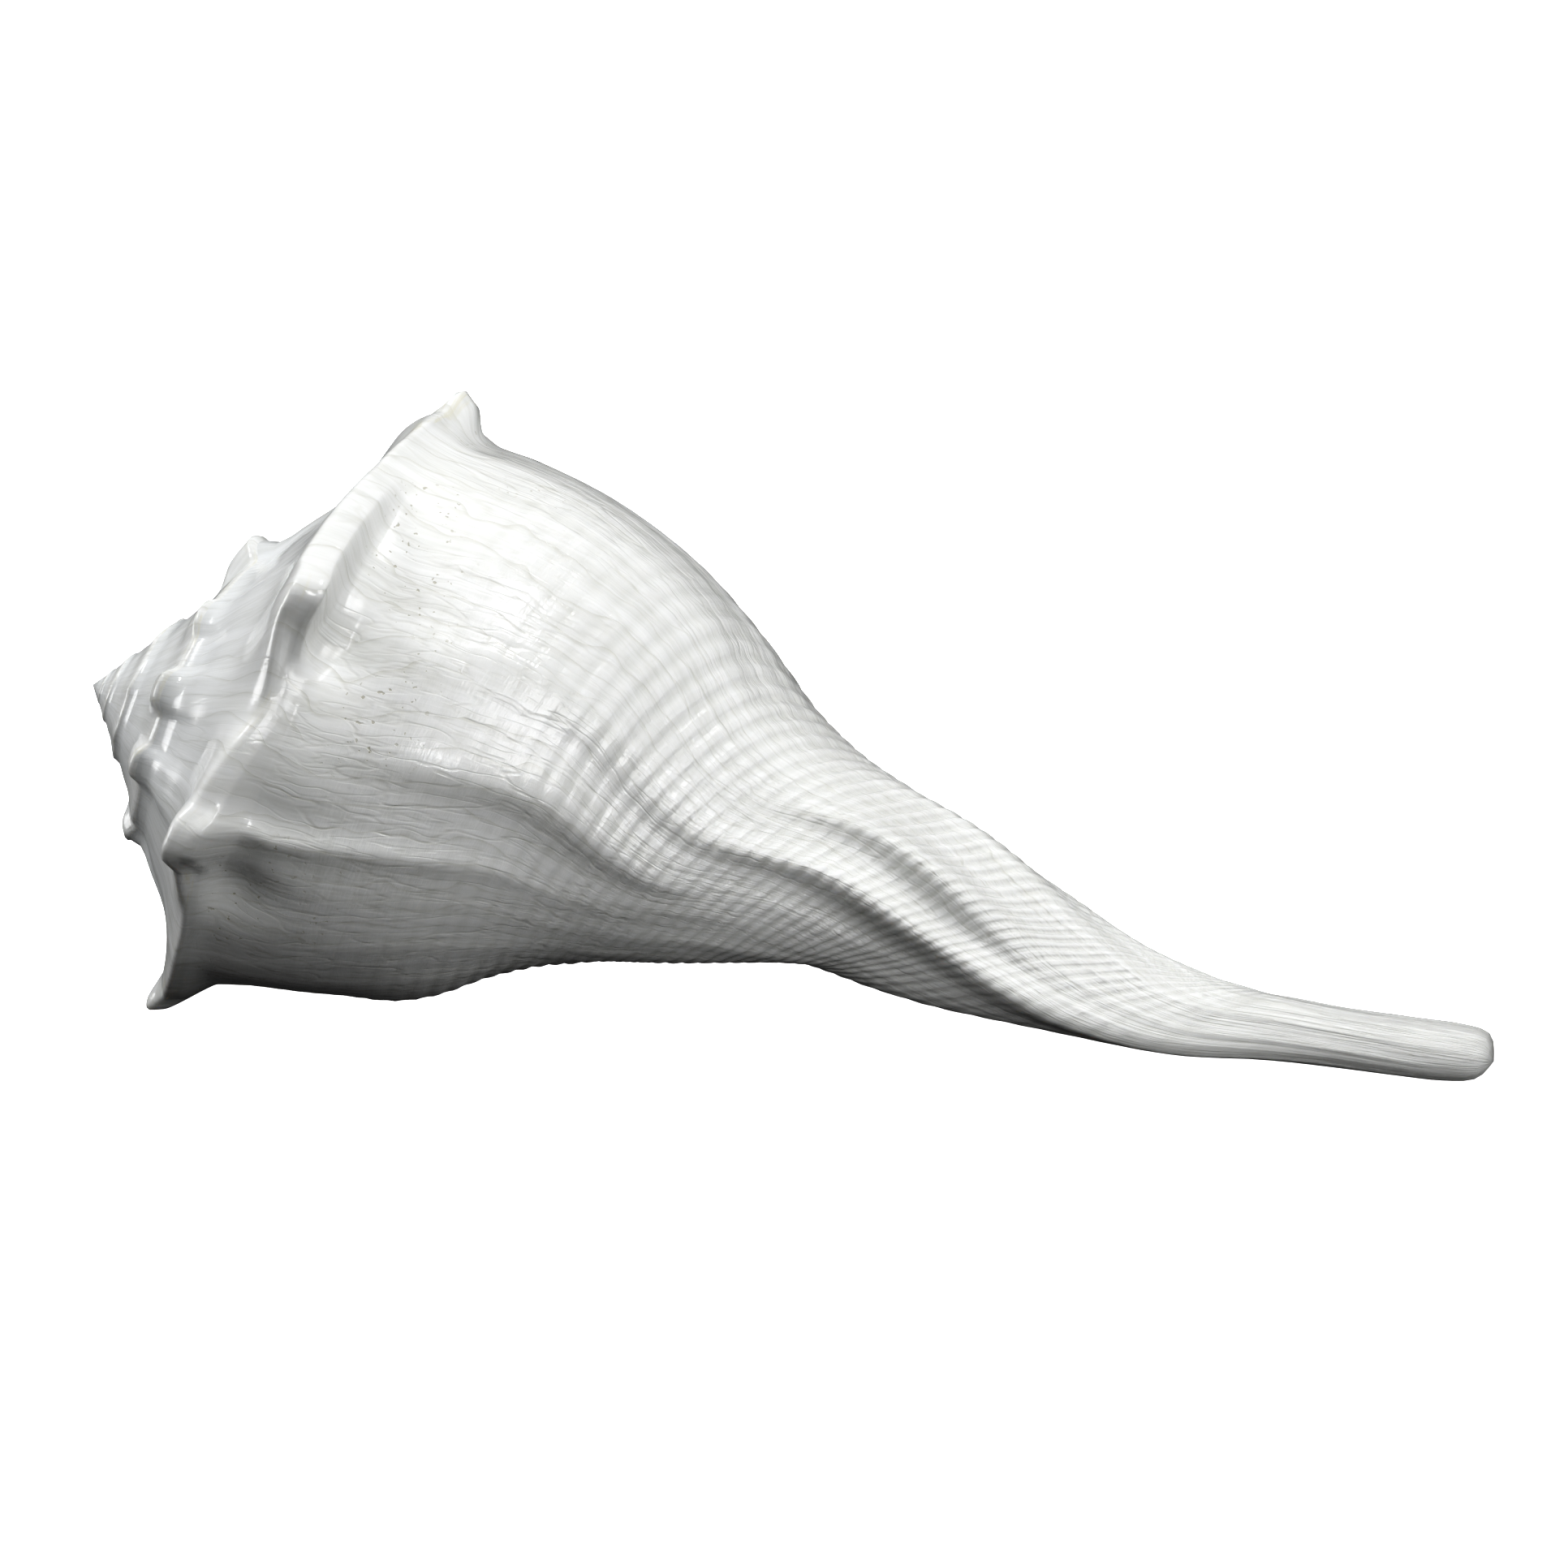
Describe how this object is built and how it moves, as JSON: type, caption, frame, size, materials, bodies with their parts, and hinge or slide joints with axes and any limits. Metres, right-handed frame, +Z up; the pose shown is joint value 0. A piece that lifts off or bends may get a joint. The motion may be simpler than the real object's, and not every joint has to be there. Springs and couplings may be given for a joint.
{
  "type": "left-handed whelk shell",
  "caption": "Bleached left-handed knobbed whelk shell, sold as a conch, lying on its open side, with a low spire, pointed shoulder knobs and a long tapering canal.",
  "frame": {"origin": "bottom centre of the bounding box, on the surface the shell lies on", "axes": "+X from the spire towards the end of the canal, +Y towards the outer lip, +Z up as the shell lies"},
  "size_m": [0.175, 0.0934, 0.0733],
  "materials": {
    "shell_white": "gloss"
  },
  "bodies": {
    "root": {"shell": "shell_white"}
  },
  "joints": []
}
